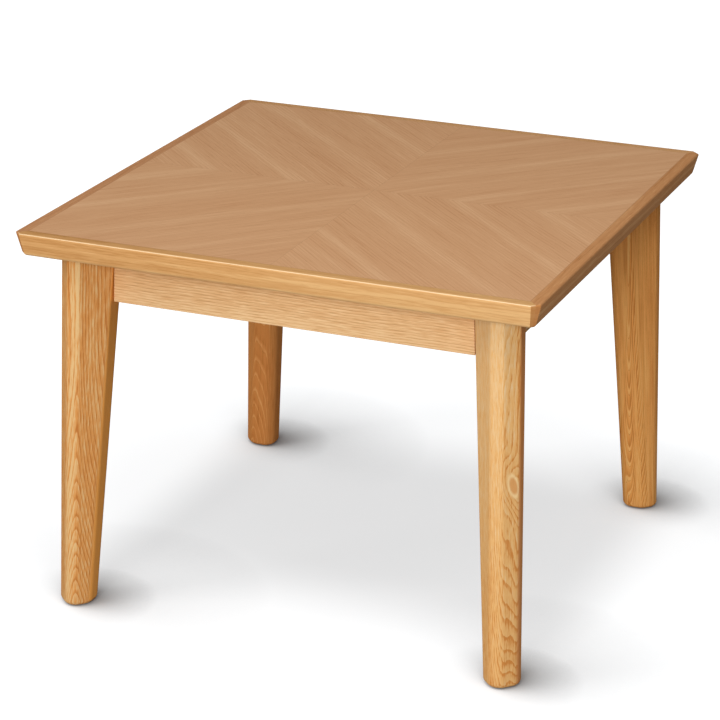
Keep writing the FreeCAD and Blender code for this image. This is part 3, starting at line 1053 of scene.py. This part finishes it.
class FastenerArray:
    """Geometry Nodes tree that repeats one fastener in rows, in columns and round the four corners."""

    INPUTS = (
        ("Start", "NodeSocketVector"),
        ("Row Count", "NodeSocketInt"),
        ("Row Step", "NodeSocketVector"),
        ("Column Count", "NodeSocketInt"),
        ("Column Step", "NodeSocketVector"),
        ("Corner Count", "NodeSocketInt"),
        ("Finish", "NodeSocketMaterial"),
    )

    def __init__(self) -> None:
        """Build the tree once."""
        self.tree = bpy.data.node_groups.new("fastener_array", "GeometryNodeTree")
        self.graph = Graph(self.tree)
        self.names: dict[str, str] = {}
        face = self.tree.interface
        face.new_socket("Fastener", in_out="INPUT", socket_type="NodeSocketGeometry")
        for name, kind in self.INPUTS:
            self.names[name] = face.new_socket(name, in_out="INPUT", socket_type=kind).identifier
        face.new_socket("Fasteners", in_out="OUTPUT", socket_type="NodeSocketGeometry")
        self.wire()

    def line(self, shape: Socket, places: Mapping[str, Socket]) -> Socket:
        """Copies of a shape in one line.

        Args:
            shape: The shape.
            places: Number of copies, step from copy to copy and place of the first one.

        Returns:
            The copies' socket.
        """
        line = self.graph.node("GeometryNodeMeshLine", places, mode="OFFSET").outputs[0]
        copies = self.graph.node("GeometryNodeInstanceOnPoints", {"Points": line, "Instance": shape})
        return self.graph.node("GeometryNodeRealizeInstances", [copies.outputs[0]]).outputs[0]

    def wire(self) -> None:
        """Connect the tree's nodes."""
        graph = self.graph
        given = graph.node("NodeGroupInput").outputs
        rows = {"Count": given["Row Count"], "Offset": given["Row Step"]}
        columns = {"Count": given["Column Count"], "Offset": given["Column Step"]}
        corner = self.line(self.line(given["Fastener"], rows), columns | {"Start Location": given["Start"]})
        single = graph.node("GeometryNodeGeometryToInstance", [corner]).outputs[0]
        amount = {"Geometry": single, "Amount": given["Corner Count"]}
        copies = graph.node("GeometryNodeDuplicateElements", amount, domain="INSTANCE").outputs
        turn = graph.math("MULTIPLY", copies["Duplicate Index"], QUARTER)
        turned = graph.node("GeometryNodeRotateInstances", {
            "Instances": copies["Geometry"],
            "Rotation": graph.vector(0.0, 0.0, turn),
            "Pivot Point": NO_STEP,
            "Local Space": False,
        })
        real = graph.node("GeometryNodeRealizeInstances", [turned.outputs[0]]).outputs[0]
        dressed = graph.node("GeometryNodeSetMaterial", {"Geometry": real, "Material": given["Finish"]})
        graph.node("NodeGroupOutput", [dressed.outputs[0]])

    def spread(self, single: Object, lay: Lay, material: Material) -> Object:
        """Repeat one fastener at all four corners as one plain mesh.

        Args:
            single: The fastener at the origin, already turned to its direction.
            lay: Its rows and columns.
            material: Its finish.

        Returns:
            The object with the plain mesh.
        """
        modifier = single.modifiers.new("array", "NODES")
        modifier.node_group = self.tree
        for (name, _), value in zip(self.INPUTS, (*vars(lay).values(), len(Corner), material)):
            modifier[self.names[name]] = value
        evaluated = single.evaluated_get(bpy.context.evaluated_depsgraph_get())
        mesh = bpy.data.meshes.new_from_object(evaluated)
        single.modifiers.clear()
        single.data = mesh
        return single


@dataclass
class Turning:
    """Small round part made from rings about its Z axis."""

    name: str
    direction: Vector
    segments: int = 24

    HOLLOW = False

    def stations(self) -> Stations:
        """Heights and radii of the rings, as numbers or as functions of the angle."""
        raise NotImplementedError

    def aimed(self, points: Sequence[Vector], faces: Sequence[Sequence[int]]) -> Object:
        """Mesh of the part with its Z axis laid along its direction."""
        turn = self.direction.to_track_quat("Z", "Y").to_matrix().to_4x4()
        return make_piece(self.name, [turn @ point for point in points], faces)

    def build(self) -> Object:
        """Make the part's mesh, with its seat at the origin.

        Returns:
            The new object.
        """
        stations = self.stations()
        points = []
        for station in stations:
            for index in range(self.segments):
                angle = 2 * math.pi * index / self.segments
                height, radius = (value(angle) if callable(value) else value for value in station)
                points.append(Vector((radius * math.cos(angle), radius * math.sin(angle), height)))
        return self.aimed(points, ring_faces(len(stations), self.segments, not self.HOLLOW))


@dataclass
class LegBolt(Turning):
    """Socket head bolt with a knurled head and a cut thread."""

    shank: float = 0.004
    length: float = 0.055
    head_radius: float = 0.0065
    head_height: float = 0.008
    bevel: float = 0.0008
    socket: float = 0.006
    socket_depth: float = 0.004
    knurl_depth: float = 0.0002
    plain_length: float = 0.018
    thread_start: float = 0.0185
    unthreaded: float = 0.02
    pitch: float = 0.00125
    thread_depth: float = 0.0004

    def hexagon(self, angle: float) -> float:
        """Radius of the socket at an angle."""
        sector = math.pi / 3
        return self.socket / 2 / math.cos((angle + sector / 2) % sector - sector / 2)

    def knurl(self, angle: float) -> float:
        """Radius of the knurled head at an angle."""
        return self.head_radius - self.knurl_depth * (round(angle / (2 * math.pi) * self.segments) % 2)

    def stations(self) -> Stations:
        """Rings of the bolt.

        Returns:
            Heights and radii from the bottom of the socket to the end of the thread.
        """
        top = -self.head_height
        stations = [(top + self.socket_depth, self.hexagon), (top, self.hexagon)]
        stations += [(top, self.head_radius - self.bevel), (top + self.bevel, self.knurl)]
        stations += [(-self.bevel, self.knurl), (0.0, self.head_radius - self.knurl_depth)]
        stations += [(0.0, self.shank), (self.plain_length, self.shank)]
        for turn in range(int((self.length - self.unthreaded) / self.pitch)):
            height = self.thread_start + turn * self.pitch
            stations += [(height, self.shank - self.thread_depth), (height + self.pitch / 2, self.shank)]
        return [*stations, (self.length, self.shank - self.bevel)]


@dataclass
class Washer(Turning):
    """Flat ring under a bolt head."""

    outer: float = 0.008
    hole: float = 0.0042
    thickness: float = 0.0016
    ease: float = 0.0002

    HOLLOW = True

    def stations(self) -> Stations:
        """Rings of the washer.

        Returns:
            Heights and radii from one rim of the hole round to the other.
        """
        eased = self.outer - self.ease
        high = self.thickness
        half = [(0.0, self.hole), (0.0, eased), (self.ease, self.outer)]
        return [*half, (high - self.ease, self.outer), (high, eased), (high, self.hole)]


@dataclass
class SpringWasher(Washer):
    """Split ring with a straight slit."""

    outer: float = 0.0074
    thickness: float = 0.002
    slit: float = 0.0012

    def build(self) -> Object:
        """Make the split ring's mesh, with one face at the origin.

        Returns:
            The new object.
        """
        start = math.asin(self.slit / 2 / self.hole)
        high = self.thickness
        corners = ((self.hole, 0.0), (self.outer, 0.0), (self.outer, high), (self.hole, high))
        points = []
        for index in range(self.segments + 1):
            angle = start + (2 * math.pi - 2 * start) * index / self.segments
            arm = Vector((math.cos(angle), math.sin(angle), 0.0))
            points += [arm * radius + UP * height for radius, height in corners]
        return self.aimed(points, ring_faces(self.segments + 1, len(corners)))


@dataclass
class ThreadedInsert(Turning):
    """Sleeve with a coarse wood thread outside."""

    outer: float = 0.006
    hole: float = 0.0041
    length: float = 0.018
    bevel: float = 0.0008
    pitch: float = 0.003
    flank: float = 0.0012
    crest: float = 0.0004

    HOLLOW = True

    def stations(self) -> Stations:
        """Rings of the sleeve.

        Returns:
            Heights and radii from the hole's mouth along the outside to the hole's end.
        """
        bevelled = self.outer - self.bevel
        stations = [(0.0, self.hole), (0.0, bevelled)]
        for turn in range(int(self.length / self.pitch)):
            low = turn * self.pitch + self.bevel
            high = low + self.flank
            stations += [(low, self.outer - self.flank), (high, self.outer), (high + self.crest, self.outer)]
        return [*stations, (self.length, bevelled), (self.length, self.hole)]


@dataclass
class WoodScrew(Turning):
    """Screw with a low head, a cross recess, a coarse thread and a point."""

    length: float = 0.02
    shank: float = 0.002
    core: float = 0.0014
    head_radius: float = 0.004
    head_height: float = 0.0026
    bevel: float = 0.001
    recess_reach: float = 0.0023
    recess_half: float = 0.00051
    recess_depth: float = 0.0016
    recess_rings: tuple[float, ...] = (0.0001, 0.0005, 0.0009, 0.0014, 0.002277, 0.002346)
    pitch: float = 0.0018
    thread_start: float = 0.001
    flank: float = 0.0005
    tip: float = 0.004
    point: float = 0.0001

    def face(self, radius: float, angle: float) -> float:
        """Height of the head's face at a radius and an angle, with its cross recess."""
        near = radius * min(abs(math.cos(angle)), abs(math.sin(angle))) < self.recess_half
        return self.recess_depth * (near and radius < self.recess_reach) - self.head_height

    def stations(self) -> Stations:
        """Rings of the screw.

        Returns:
            Heights and radii from the middle of the recess to the point.
        """
        top = -self.head_height
        stations = [(partial(self.face, radius), radius) for radius in self.recess_rings]
        stations += [(top, self.head_radius - self.bevel), (top + self.bevel, self.head_radius)]
        stations += [(0.0, self.head_radius), (0.0, self.core)]
        for turn in range(int((self.length - self.tip) / self.pitch)):
            low = self.thread_start + turn * self.pitch
            high = low + self.flank
            stations += [(low, self.core), (high, self.shank), (high + self.flank, self.core)]
        return [*stations, (self.length - self.tip, self.core), (self.length, self.point)]


@dataclass
class GlideNail(WoodScrew):
    """Nail with a flat round head and a point; its pitch is longer than itself, so it has no thread."""

    length: float = 0.016
    core: float = 0.001
    head_radius: float = 0.003
    head_height: float = 0.001
    bevel: float = 0.0003
    recess_reach: float = 0.0
    recess_rings: tuple[float, ...] = (0.0002,)
    pitch: float = 1.0
    tip: float = 0.003
    point: float = 0.00005


@dataclass
class Fastenings:
    """All bolts, washers, inserts, screws and nails of the table."""

    spring_face: float = 0.2664
    washer_face: float = 0.2684
    leg_flat: float = 0.308
    upper_bolt: float = 0.410
    bolt_drop: float = 0.024
    apron_screw: Triple = (0.176, -0.2115, 0.413)
    apron_screw_drop: float = 0.030
    top_screw_along: float = 0.284
    top_screw_across: float = 0.011
    top_screw_seat: float = 0.398
    top_screw_length: float = 0.04
    foot: float = 0.2585
    nail_seat: float = 0.0016
    fine_segments: int = 32
    nail_segments: int = 20

    def on_diagonal(self, distance: float) -> Lay:
        """Two fasteners above each other on the diagonal at a distance from the middle."""
        place = TO_CORNER * distance
        return Lay((place.x, place.y, self.upper_bolt), 2, (0.0, 0.0, -self.bolt_drop))

    def build(self) -> None:
        """Make, spread and dress every fastener."""
        array = FastenerArray()
        steel = ZINC.build()
        yellow = YELLOW_ZINC.build()
        fine = self.fine_segments
        heads = self.on_diagonal(self.spring_face)
        columns = (-2 * self.apron_screw[0], 0.0, 0.0)
        aprons = Lay(self.apron_screw, 2, (0.0, 0.0, -self.apron_screw_drop), 2, columns)
        aside = self.top_screw_across * HALF_DIAGONAL
        start = TO_CORNER * self.top_screw_along + Vector((aside, aside, self.top_screw_seat))
        tops = Lay(tuple(start), 2, (-2 * aside, -2 * aside, 0.0))
        feet = Lay((self.foot, -self.foot, self.nail_seat))
        bolt = LegBolt("leg_bolt_set", TO_CORNER)
        spring = SpringWasher("spring_washer_set", TO_CORNER)
        washer = Washer("flat_washer_set", TO_CORNER, fine)
        insert = ThreadedInsert("insert_set", TO_CORNER)
        apron_screw = WoodScrew("apron_screw_set", TO_FRONT, fine)
        top_screw = WoodScrew("top_screw_set", UP, fine, self.top_screw_length)
        nail = GlideNail("glide_nail_set", UP, self.nail_segments)
        rows = (
            (bolt, heads, steel, "bolt_steel", "leg_bolts"),
            (spring, heads, steel, "bolt_steel", "leg_bolt_spring_washers"),
            (washer, self.on_diagonal(self.washer_face), steel, "bolt_steel", "leg_bolt_flat_washers"),
            (insert, self.on_diagonal(self.leg_flat), BRASS.build(), "insert_brass", "leg_threaded_inserts"),
            (apron_screw, aprons, yellow, "screw_steel", "apron_screws"),
            (top_screw, tops, yellow, "screw_steel", "top_screws"),
            (nail, feet, yellow, "screw_steel", "glide_nails"),
        )
        for part, lay, material, slot, node in rows:
            dress(array.spread(part.build(), lay, material), material, slot, node)


@dataclass(frozen=True)
class SoftLight:
    """Square soft light."""

    name: str
    place: Triple
    size: float
    power: float

    def build(self, aim: Vector) -> None:
        """Hang the light so that it faces a point.

        Args:
            aim: The point.
        """
        lamp = bpy.data.lights.new(self.name, "AREA")
        lamp.shape = "SQUARE"
        lamp.size = self.size
        lamp.energy = self.power
        light = show(self.name, lamp)
        light.location = self.place
        light.rotation_euler = (Vector(self.place) - aim).to_track_quat("Z", "Y").to_euler()


@dataclass
class Studio:
    """Pale floor, soft lights and the camera."""

    focal_pixels: float = 2651.9
    picture_pixels: float = 720.0
    sensor: float = 36.0
    view_end: float = 200.0
    azimuth: float = 22.278
    elevation: float = 20.870
    distance: float = 2.5163
    roll: float = 0.375
    target: Triple = (0.19097, -0.50434, 0.44842)
    light_aim: Triple = (0.0, 0.0, 0.3)
    lights: tuple[SoftLight, ...] = (
        SoftLight("front_light", (0.36, -4.2, 1.35), 2.2, 121.0),
        SoftLight("right_light", (0.8, -0.9, 1.9), 0.9, 7.0),
        SoftLight("left_light", (-1.88, -1.58, 2.02), 0.8, 11.0),
    )
    sky_strength: float = 0.3
    floor_size: float = 60.0
    # Floor glow: dimmer near the table, with a painted shadow under it and painted contact shadows beside
    # the feet.
    floor_white: float = 0.78
    floor_shade: float = 0.22
    floor_roughness: float = 0.9
    floor_glow: Colour = (0.975, 0.988, 1.0, 1.0)
    floor_seen: Colour = (0.45, 0.45, 0.45, 1.0)
    floor_bounce: Colour = (0.3, 0.3, 0.3, 1.0)
    white_reach: tuple[float, float] = (0.35, 0.8)
    shade_middle: tuple[float, float] = (0.0, 0.085)
    shade_inner: tuple[float, float] = (0.23, 0.13)
    shade_outer: tuple[float, float] = (0.34, 0.32)
    painted_contact_shadows: tuple[tuple[float, Triple], ...] = ((0.2, (-0.5, -0.8, 0.2)), (0.07, (-0.4, -0.6, 0.7)))
    contact_power: float = 2.2
    contact_samples: int = 16

    def camera(self) -> None:
        """Place the camera at the viewing angle."""
        lens = bpy.data.cameras.new("camera")
        lens.sensor_width = self.sensor
        lens.lens = self.focal_pixels / self.picture_pixels * self.sensor
        lens.clip_end = self.view_end
        camera = show("camera", lens)
        turn = math.radians(self.azimuth)
        rise = math.radians(self.elevation)
        back = Vector((math.sin(turn) * math.cos(rise), -math.cos(turn) * math.cos(rise), math.sin(rise)))
        right = UP.cross(back).normalized()
        above = back.cross(right)
        tilt = math.radians(self.roll)
        rolled_right = right * math.cos(tilt) + above * math.sin(tilt)
        rolled_above = above * math.cos(tilt) - right * math.sin(tilt)
        pose = Matrix((rolled_right, rolled_above, back)).transposed().to_4x4()
        pose.translation = Vector(self.target) + back * self.distance
        camera.matrix_world = pose
        bpy.context.scene.camera = camera

    def sky(self) -> None:
        """Set an even pale surround."""
        world = bpy.data.worlds.new("surround")
        world.use_nodes = True
        bpy.context.scene.world = world
        graph = Graph(world.node_tree)
        strength = graph.between(graph.seen(), 0.0, 1.0, self.sky_strength, 1.0)
        graph.fill(world.node_tree.nodes["Background"], {"Color": WHITE, "Strength": strength})

    def floor_glow_and_painted_shadow(self, graph: Graph) -> Socket:
        """Glow of the floor, with a painted shadow under the table and painted contact shadows beside its
        feet.

        Args:
            graph: Graph that the nodes go into.

        Returns:
            The light's socket.
        """
        place = graph.split(graph.own_place())
        # Painted shadow under the table, cut out of the floor's glow.
        under: object = self.floor_shade
        for axis, middle in enumerate(self.shade_middle):
            away = graph.math("ABSOLUTE", graph.math("SUBTRACT", place[axis], middle))
            share = graph.between(away, self.shade_inner[axis], self.shade_outer[axis], 1.0, 0.0)
            under = graph.math("MULTIPLY", under, share)
        # Glow dimmer near the table, as painted shade.
        white = graph.between(graph.length(*place[:2]), *self.white_reach, self.floor_white, 1.0)
        light = graph.math("SUBTRACT", white, under)
        # Painted contact shadows beside the feet, from ambient occlusion.
        for reach, lean in self.painted_contact_shadows:
            inputs = {"Distance": reach, "Normal": graph.vector(*lean)}
            near = graph.node("ShaderNodeAmbientOcclusion", inputs, samples=self.contact_samples)
            open_share = graph.math("POWER", near.outputs["AO"], self.contact_power)
            light = graph.math("MULTIPLY", light, open_share)
        return light

    def floor(self) -> None:
        """Lay the white floor, which keeps the table's shadow from the lights and shows a painted shadow in
        its glow.
        """
        mesh = bpy.data.meshes.new("floor")
        half = self.floor_size / 2
        corners = [(-half, -half, 0.0), (half, -half, 0.0), (half, half, 0.0), (-half, half, 0.0)]
        mesh.from_pydata(corners, [], [(0, 1, 2, 3)])
        floor = show("floor", mesh)
        material, graph, shader = surface("white_floor")
        seen = graph.seen()
        graph.fill(shader, {
            "Base Color": graph.mix(seen, self.floor_bounce, self.floor_seen),
            "Roughness": self.floor_roughness,
            "Specular IOR Level": 0.0,
            "Emission Color": self.floor_glow,
            "Emission Strength": graph.math("MULTIPLY", seen, self.floor_glow_and_painted_shadow(graph)),
        })
        mesh.materials.append(material)

    def build(self) -> None:
        """Set up the floor, the lights and the camera."""
        self.floor()
        self.sky()
        for light in self.lights:
            light.build(Vector(self.light_aim))
        self.camera()
        bpy.context.scene.view_settings.view_transform = "Standard"


def leg_wood(finish: WoodFinish, facings: tuple[float, float], distance: float, slope: float) -> WoodFinish:
    """Wood of one leg whose growth rings face a direction and lean against the leg.

    Args:
        finish: Finish that the leg's wood starts from.
        facings: Directions that the rings face at the floor and under the board, in degrees from the
            front towards the right.
        distance: Distance of the pith from the leg's centre line at the floor.
        slope: How far the pith comes nearer for each metre of height.

    Returns:
        The finish with its pith set.
    """
    height = Leg.top.height
    ends = []
    for facing, away in zip(facings, (distance, distance - slope * height)):
        turn = math.radians(facing)
        ends.append(Vector((-away * math.sin(turn), away * math.cos(turn))))
    low, high = ends
    lean = (high - low) / height
    return replace(finish, pith_across=low.x, pith_depth=low.y, lean_across=lean.x, lean_depth=lean.y)


VENEER = WoodFinish(
    name="face_veneer",
    pale=shade(240, 191, 145),
    mid=shade(229, 176, 130),
    dark=shade(215, 158, 112),
    pore=shade(150, 100, 66),
    ring_spacing=0.0042,
    ring_line=0.18,
    ring_sweep=0.12,
    ring_wander=0.006,
    fibre_strength=1.1,
    fleck_strength=0.8,
    fleck_along=16.0,
    streaks=((-0.111, 0.014, 0.26), (-0.0233, 0.012, 0.24), (0.0686, 0.014, 0.28), (0.1464, 0.014, 0.24)),
    streak_wander=0.004,
    seam_half=0.287,
)
LIPPING = WoodFinish(
    name="lipping_wood",
    pale=shade(236, 188, 128),
    mid=shade(221, 167, 107),
    dark=shade(202, 145, 86),
    pore=shade(150, 98, 52),
    ring_spacing=0.0032,
    ring_line=0.15,
    ring_sweep=0.1,
    ring_wander=0.008,
    fleck_strength=1.1,
    fleck_across=600.0,
    streaks=((-0.0125, 0.004, 0.35),),
    streak_wander=0.010,
    end_grain_and_side_shading=shade(196, 130, 72),
)
# One lipping wood per side: the front strip carries painted highlight, light and shade, and the other strips
# are darker or lighter copies as painted shade and light.
LIPPING_WITH_PAINTED_LIGHT = {
    Side.FRONT: replace(
        LIPPING,
        # Painted shade, darker towards the left end of the strip.
        fade=-0.7,
        fade_middle=0.0,
        # Painted highlight along the front strip's upper arris.
        painted_highlight_width=0.0013,
        painted_highlight_colour=shade(255, 226, 182),
        # The added band is painted light along the lower arris.
        streaks=(*LIPPING.streaks, (-0.026, 0.005, 0.6)),
    ),
    # Darker copy: painted shade on the right strip.
    Side.RIGHT: replace(
        LIPPING,
        pale=shade(228, 174, 120),
        mid=shade(213, 152, 100),
        dark=shade(192, 130, 80),
    ),
    # Lighter copy: painted light on the back strip.
    Side.BACK: replace(LIPPING, mid=shade(226, 172, 119)),
    # Darker copy: painted shade on the left strip.
    Side.LEFT: replace(
        LIPPING,
        pale=shade(226, 172, 122),
        mid=shade(209, 150, 104),
        dark=shade(188, 128, 84),
    ),
}
APRON = WoodFinish(
    name="apron_wood",
    pale=shade(248, 207, 155),
    mid=shade(234, 185, 131),
    dark=shade(212, 158, 104),
    pore=shade(150, 100, 60),
    ring_spacing=0.003,
    ring_line=0.35,
    ring_wander=0.010,
    ring_ripple=0.001,
    fleck_strength=2.2,
    fleck_across=820.0,
    fleck_along=44.0,
    # The first band is painted light, paler towards the rail's lower edge; the second is painted shade,
    # darker in its upper half under the board.
    streaks=((-0.062, 0.032, 0.22), (-0.018, 0.014, -0.15)),
)
LEG = WoodFinish(
    name="leg_wood",
    pale=shade(234, 182, 116),
    mid=shade(216, 156, 90),
    dark=shade(192, 128, 66),
    pore=shade(136, 84, 40),
    ring_spacing=0.0018,
    # Facing range of the leg flats that take painted light and shade.
    end_and_side_from=0.8,
    end_and_side_full=0.96,
)
BRANCH = Knot(
    facing=45.0,
    across=0.0027,
    along=0.234,
    width=0.0072,
    height=0.016,
    tilt=0.2,
    rise=0.0042,
    heart=shade(218, 150, 84),
    rim=shade(250, 216, 160),
)
LEG_WOODS = {
    Corner.FRONT_RIGHT: replace(
        leg_wood(LEG, (44.0, 66.0), 0.022, -0.08),
        pale=shade(236, 200, 150),
        mid=shade(233, 181, 115),
        dark=shade(210, 138, 70),
        shift=(0.2, 0.1, 0.0),
        bow=-0.19,
        ring_spacing=0.0012,
        ring_line=0.22,
        ring_sweep=0.3,
        ring_ripple=0.0012,
        fibre_strength=1.0,
        fleck_strength=1.3,
        fleck_across=760.0,
        fleck_along=80.0,
        fade=-0.8,
        # The second band is painted shade, darker along the leg's right edge.
        streaks=((0.003, 0.010, 0.1), (0.0265, 0.004, -0.4)),
        streak_wander=0.002,
        # Painted shade on the flats that face right and left, darker and redder.
        end_and_side_axis=0,
        end_grain_and_side_shading=shade(220, 143, 85),
        knot=BRANCH,
    ),
    Corner.FRONT_LEFT: replace(
        leg_wood(LEG, (24.0, 20.0), 0.12, 0.105),
        pale=shade(228, 188, 131),
        mid=shade(219, 153, 86),
        dark=shade(194, 122, 60),
        shift=(0.7, 0.3, 0.4),
        bow=0.12,
        ring_spacing=0.0013,
        ring_line=0.3,
        ring_sweep=0.36,
        year_strength=0.7,
        fibre_strength=1.2,
        fleck_strength=1.4,
        fleck_across=760.0,
        fleck_along=70.0,
        # This band is painted sheen, paler down the middle of the front flat.
        streaks=((-0.003, 0.010, 0.3),),
        streak_wander=0.002,
        # Painted light on the flats that face right and left, brighter and more orange.
        end_and_side_axis=0,
        end_grain_and_side_shading=shade(255, 176, 86),
    ),
    Corner.BACK_RIGHT: replace(
        LEG,
        pale=shade(250, 190, 114),
        mid=shade(240, 164, 87),
        dark=shade(210, 130, 62),
        shift=(1.1, 0.6, 0.2),
        pith_across=-0.008,
        pith_depth=-0.001,
        lean_across=0.02,
        lean_depth=-0.062,
        bow=0.06,
        ring_spacing=0.0007,
        ring_line=-1.5,
        ring_sweep=0.8,
        ring_wander=0.00012,
        ring_ripple=0.0,
        fibre_strength=1.7,
        fleck_strength=1.6,
        fleck_across=330.0,
        fleck_along=5.0,
        fade=0.8,
    ),
    Corner.BACK_LEFT: replace(
        leg_wood(LEG, (-20.0, 30.0), 0.09, 0.05),
        pale=shade(236, 170, 102),
        mid=shade(219, 142, 76),
        dark=shade(190, 112, 52),
        shift=(1.9, 0.2, 0.9),
        ring_spacing=0.0014,
        ring_line=-0.5,
        ring_ripple=0.0006,
    ),
}
BLOCK = WoodFinish(
    name="block_wood",
    pale=shade(222, 196, 158),
    mid=shade(206, 176, 134),
    dark=shade(184, 150, 106),
    pore=shade(150, 114, 76),
    source=GrainSource.TABLE,
    pith_across=0.4,
    pith_depth=0.5,
    ring_spacing=0.0024,
    roughness=0.75,
)
BACKING = WoodFinish(
    name="backing_sheet",
    pale=shade(188, 150, 108),
    mid=shade(176, 136, 94),
    dark=shade(158, 116, 76),
    pore=shade(126, 88, 56),
    source=GrainSource.TABLE,
    pith_across=1.5,
    pith_depth=0.0,
    ring_spacing=0.006,
)
CORE = BoardFinish("pressed_board", shade(168, 136, 100), shade(134, 102, 70), 700.0, 0.85, 0.0001)
GLIDE = BoardFinish("moulded_glide", shade(128, 102, 76), shade(112, 88, 64), 1500.0, 0.55, 0.00002)
ZINC = MetalFinish("zinc_plate", shade(196, 196, 194), shade(168, 168, 166), 0.32)
YELLOW_ZINC = MetalFinish("yellow_zinc", shade(206, 188, 132), shade(186, 172, 140), 0.34)
BRASS = MetalFinish("turned_brass", shade(222, 184, 112), shade(188, 146, 84), 0.3)


def main() -> None:
    """Build every piece of the table in order."""
    logging.basicConfig(level=logging.INFO)
    Studio().build()
    for corner in Corner:
        VeneerSheet(corner, VENEER).build()
        Leg(corner, LEG_WOODS[corner]).build()
    for side in Side:
        Lipping(side, LIPPING_WITH_PAINTED_LIGHT[side]).build()
        Apron(side, APRON).build()
    Fastenings().build()
    paint(BLOCK.build(), *("corner_block_" + corner.label for corner in Corner))
    paint(GLIDE.build(), *("foot_glide_" + corner.label for corner in Corner))
    paint(BACKING.build(), "top_backing")
    paint(CORE.build(), "top_core")


if __name__ == "__main__":
    main()
